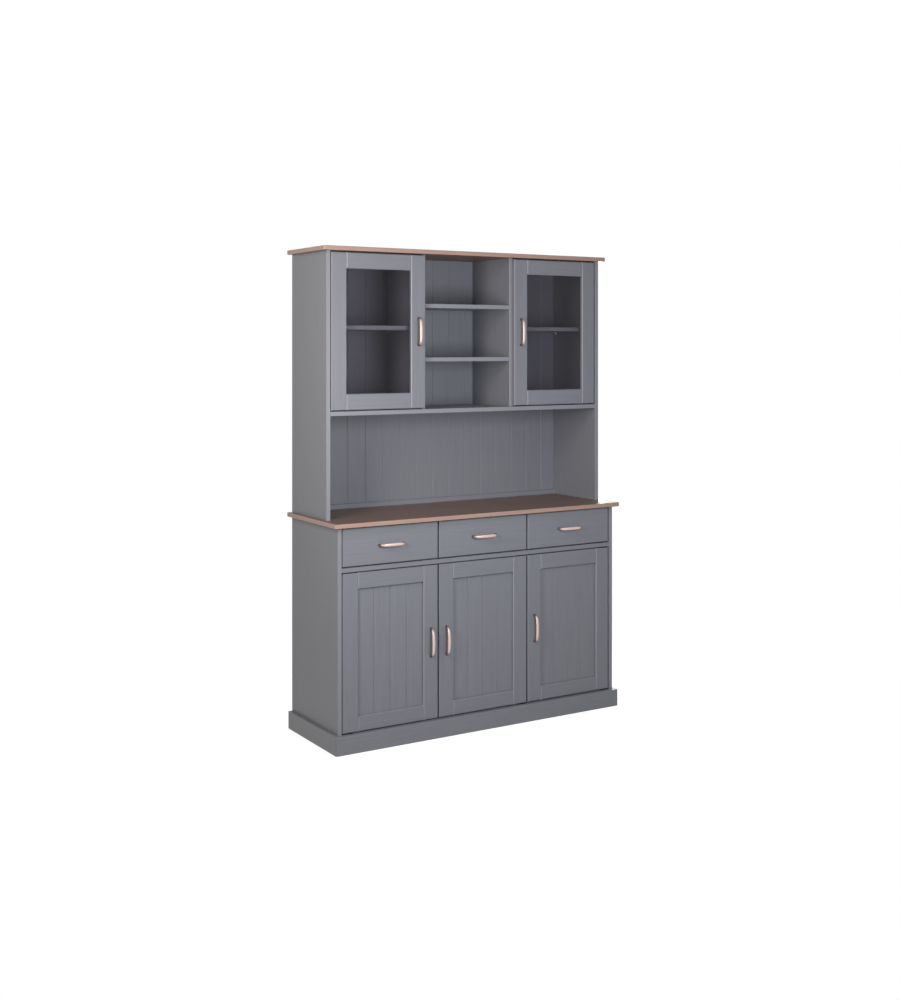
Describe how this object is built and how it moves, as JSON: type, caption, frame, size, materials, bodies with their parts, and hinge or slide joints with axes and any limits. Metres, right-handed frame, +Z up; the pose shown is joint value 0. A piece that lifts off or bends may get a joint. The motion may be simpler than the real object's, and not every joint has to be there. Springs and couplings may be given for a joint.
{
  "type": "sideboard with glazed hutch",
  "caption": "Buffet with a glazed hutch: hinged panel doors below drawers, a moulded worktop, an open niche, open cubbies and glass doors above.",
  "frame": {"origin": "centre of the whole footprint, handles included, on the floor under the plinth", "axes": "+Z up, the doors and drawers face -Y, +X to the viewer's right when facing the doors"},
  "size_m": [1.4, 0.452, 1.99],
  "materials": {
    "grey_paint": "satin grey paint over a faintly embossed grain",
    "brown_wood": "warm brown stain, satin lacquer",
    "drawer_wood": "clear matt lacquer on pale wood",
    "back_board": "raw hardboard",
    "clear_glass": "polished float glass",
    "aged_copper": "brushed antique copper plating",
    "steel": "zinc plated, dull",
    "dark_steel": "chemically browned and oiled",
    "catch_plastic": "matt moulded"
  },
  "bodies": {
    "carcass": {"base_side_left": "grey_paint", "base_side_right": "grey_paint", "base_partition_left": "grey_paint", "base_partition_right": "grey_paint", "base_bottom": "grey_paint", "base_back": "back_board", "worktop": "brown_wood", "plinth_front": "grey_paint", "plinth_side_left": "grey_paint", "plinth_side_right": "grey_paint", "front_rail": "grey_paint", "base_shelves": "grey_paint", "drawer_runners": "drawer_wood", "hutch_side_left": "grey_paint", "hutch_side_right": "grey_paint", "hutch_top": "brown_wood", "hutch_floor": "grey_paint", "hutch_partition_left": "grey_paint", "hutch_partition_right": "grey_paint", "hutch_back": "grey_paint", "hutch_back_rail": "grey_paint", "hutch_shelves": "grey_paint", "cubby_shelf_lower": "grey_paint", "cubby_shelf_upper": "grey_paint", "shelf_pins": "steel", "pivot_pin_plates": "dark_steel", "door_catches": "catch_plastic", "hutch_tenons": "drawer_wood"},
    "hutch_door_left": {"hutch_door_left_frame": "grey_paint", "hutch_door_left_glass": "clear_glass", "hutch_door_left_hardware": "dark_steel", "hutch_door_left_handle": "aged_copper"},
    "hutch_door_right": {"hutch_door_right_frame": "grey_paint", "hutch_door_right_glass": "clear_glass", "hutch_door_right_hardware": "dark_steel", "hutch_door_right_handle": "aged_copper"},
    "base_door_left": {"base_door_left_frame": "grey_paint", "base_door_left_panel": "grey_paint", "base_door_left_hardware": "dark_steel", "base_door_left_handle": "aged_copper"},
    "base_door_middle": {"base_door_middle_frame": "grey_paint", "base_door_middle_panel": "grey_paint", "base_door_middle_hardware": "dark_steel", "base_door_middle_handle": "aged_copper"},
    "base_door_right": {"base_door_right_frame": "grey_paint", "base_door_right_panel": "grey_paint", "base_door_right_hardware": "dark_steel", "base_door_right_handle": "aged_copper"},
    "drawer_left": {"drawer_left_front": "grey_paint", "drawer_left_box": "drawer_wood", "drawer_left_floor": "drawer_wood", "drawer_left_handle": "aged_copper"},
    "drawer_middle": {"drawer_middle_front": "grey_paint", "drawer_middle_box": "drawer_wood", "drawer_middle_floor": "drawer_wood", "drawer_middle_handle": "aged_copper"},
    "drawer_right": {"drawer_right_front": "grey_paint", "drawer_right_box": "drawer_wood", "drawer_right_floor": "drawer_wood", "drawer_right_handle": "aged_copper"}
  },
  "joints": [
    {"name": "hutch_door_left_hinge", "type": "hinge", "parent": "carcass", "child": "hutch_door_left", "pos_m": [-0.65, -0.093, 1.6515], "axis": [0, 0, -1], "range_deg": [0, 105]},
    {"name": "hutch_door_right_hinge", "type": "hinge", "parent": "carcass", "child": "hutch_door_right", "pos_m": [0.65, -0.093, 1.6515], "axis": [0, 0, 1], "range_deg": [0, 105]},
    {"name": "base_door_left_hinge", "type": "hinge", "parent": "carcass", "child": "base_door_left", "pos_m": [-0.65, -0.193, 0.3885], "axis": [0, 0, -1], "range_deg": [0, 105]},
    {"name": "base_door_middle_hinge", "type": "hinge", "parent": "carcass", "child": "base_door_middle", "pos_m": [0.21067, -0.193, 0.3885], "axis": [0, 0, 1], "range_deg": [0, 105]},
    {"name": "base_door_right_hinge", "type": "hinge", "parent": "carcass", "child": "base_door_right", "pos_m": [0.65, -0.193, 0.3885], "axis": [0, 0, 1], "range_deg": [0, 105]},
    {"name": "drawer_left_slide", "type": "slide", "parent": "carcass", "child": "drawer_left", "axis": [0, -1, 0], "range_m": [0, 0.3]},
    {"name": "drawer_middle_slide", "type": "slide", "parent": "carcass", "child": "drawer_middle", "axis": [0, -1, 0], "range_m": [0, 0.3]},
    {"name": "drawer_right_slide", "type": "slide", "parent": "carcass", "child": "drawer_right", "axis": [0, -1, 0], "range_m": [0, 0.3]}
  ]
}
